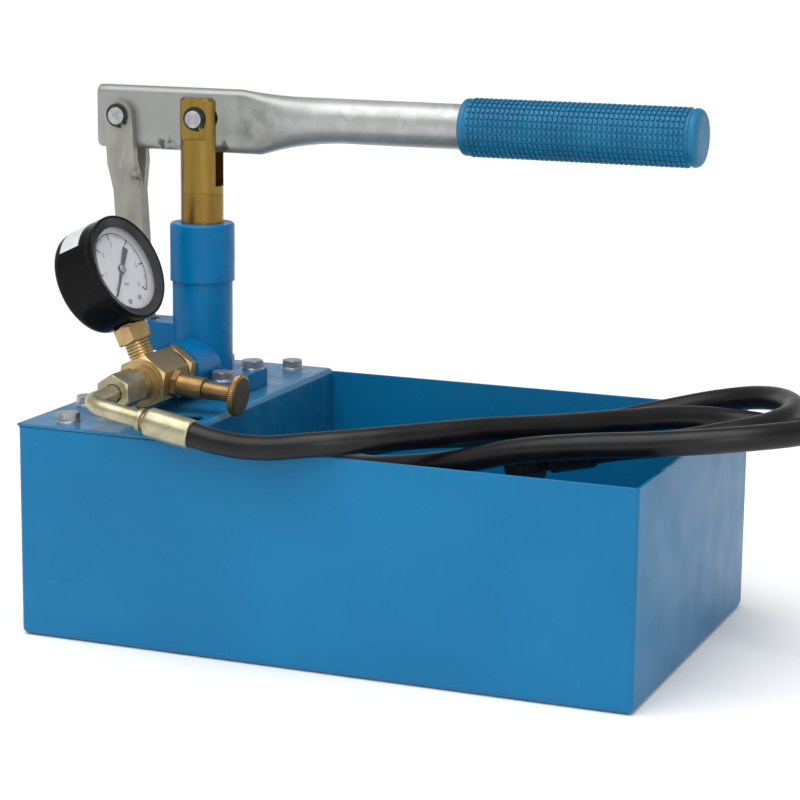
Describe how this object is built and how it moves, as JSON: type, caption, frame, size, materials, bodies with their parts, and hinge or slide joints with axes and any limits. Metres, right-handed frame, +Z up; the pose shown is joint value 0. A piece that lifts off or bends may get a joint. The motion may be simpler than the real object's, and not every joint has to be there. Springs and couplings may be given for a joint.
{
  "type": "hydraulic hand pump",
  "caption": "Manual pressure-test pump on an open sheet-steel water tank, with hand lever, brass plunger, valve block, release valve, pressure gauge and rubber hose.",
  "frame": {"origin": "centre of the tank's underside", "axes": "+X along the tank towards the handle's grip, +Y to the back, +Z up"},
  "size_m": [0.4586, 0.2422, 0.3005],
  "materials": {
    "tank_paint": "semi-gloss paint on sheet steel",
    "pump_paint": "semi-gloss paint on cast steel",
    "galvanised": "mottled galvanised steel",
    "grey_zinc": "dull grey zinc plating",
    "bright_zinc": "bright zinc plating",
    "yellow_zinc": "pale yellow zinc plating",
    "brass": "turned brass",
    "black_steel": "black oxide spring steel",
    "hose_rubber": "satin black rubber cover",
    "seal_rubber": "matt black nitrile",
    "grip_rubber": "matt blue soft plastic",
    "gauge_black": "gloss black",
    "dial_white": "white enamel",
    "pointer_black": "matt black",
    "clear_window": "clear acrylic",
    "ball_steel": "polished bearing steel"
  },
  "bodies": {
    "pump_frame": {"tank_shell": "tank_paint", "tank_lid": "tank_paint", "lid_bolts": "bright_zinc", "lid_nuts": "bright_zinc", "base_gasket": "seal_rubber", "pump_body": "pump_paint", "flange_bolts": "bright_zinc", "flange_nuts": "bright_zinc", "packing_rings": "seal_rubber", "packing_follower": "brass", "gland_nut": "pump_paint", "wiper_ring": "seal_rubber", "lug_pin": "bright_zinc", "lug_pin_clips": "black_steel", "suction_seat": "brass", "ball_stop_pin": "bright_zinc", "suction_tube": "brass", "suction_strainer": "bright_zinc", "delivery_seat": "brass", "valve_body": "brass", "release_gland": "brass", "release_seal": "seal_rubber", "gauge_socket": "brass", "gauge_case": "gauge_black", "gauge_bezel": "gauge_black", "gauge_window": "clear_window", "gauge_dial": "dial_white", "gauge_movement": "brass", "bourdon_tube": "brass", "hose_elbow": "yellow_zinc", "crimp_ferrule": "yellow_zinc", "hose": "hose_rubber", "hose_end_ferrule": "black_steel", "hose_end_nipple": "black_steel"},
    "link": {"link_front_strap": "grey_zinc", "link_rear_strap": "grey_zinc", "link_pin": "bright_zinc", "link_pin_clips": "black_steel"},
    "handle": {"handle_tube": "galvanised", "handle_grip": "grip_rubber"},
    "plunger_rod": {"plunger": "brass", "plunger_pin": "bright_zinc", "plunger_pin_clips": "black_steel"},
    "release_stem": {"release_spindle": "brass", "release_knob": "brass"},
    "pointer": {"gauge_pointer": "pointer_black"},
    "outlet_swivel": {"outlet_nut": "yellow_zinc"},
    "hose_end_swivel": {"hose_end_nut": "black_steel"},
    "suction_valve_ball": {"suction_ball": "ball_steel"},
    "delivery_valve_ball": {"delivery_ball": "ball_steel"}
  },
  "joints": [
    {"name": "link_swing", "type": "hinge", "parent": "pump_frame", "child": "link", "pos_m": [-0.172, 0.02, 0.153], "axis": [0, 1, 0], "range_deg": [-2.5, 4]},
    {"name": "lever_swing", "type": "hinge", "parent": "link", "child": "handle", "pos_m": [-0.18, 0.02, 0.282], "axis": [0, -1, 0], "range_deg": [-21, 43]},
    {"name": "plunger_slide", "type": "slide", "parent": "pump_frame", "child": "plunger_rod", "axis": [0, 0, 1], "range_m": [-0.02, 0.0395]},
    {"name": "release_turn", "type": "hinge", "parent": "pump_frame", "child": "release_stem", "pos_m": [-0.13, -0.045, 0.1385], "axis": [0.9962, 0, -0.0872], "range_deg": [0, 540]},
    {"name": "gauge_needle", "type": "hinge", "parent": "pump_frame", "child": "pointer", "pos_m": [-0.15705, -0.045, 0.1965], "axis": [-0.9013, 0.1045, -0.4203], "range_deg": [0, 270]},
    {"name": "outlet_nut_turn", "type": "hinge", "parent": "pump_frame", "child": "outlet_swivel", "pos_m": [-0.13, -0.081, 0.1385], "axis": [0, -1, 0], "continuous": true},
    {"name": "hose_end_nut_turn", "type": "hinge", "parent": "pump_frame", "child": "hose_end_swivel", "pos_m": [0.10004, -0.058, 0.11505], "axis": [-0.9733, 0, -0.2294], "continuous": true},
    {"name": "suction_ball_lift", "type": "slide", "parent": "pump_frame", "child": "suction_valve_ball", "axis": [0, 0, 1], "range_m": [0, 0.0013]},
    {"name": "delivery_ball_lift", "type": "slide", "parent": "pump_frame", "child": "delivery_valve_ball", "axis": [0, -1, 0], "range_m": [0, 0.0025]}
  ],
  "couplings": [
    {"joint": "link_swing", "follows": "lever_swing", "ratio": 0.068},
    {"joint": "plunger_slide", "follows": "lever_swing", "m_per_rad": 0.05}
  ]
}
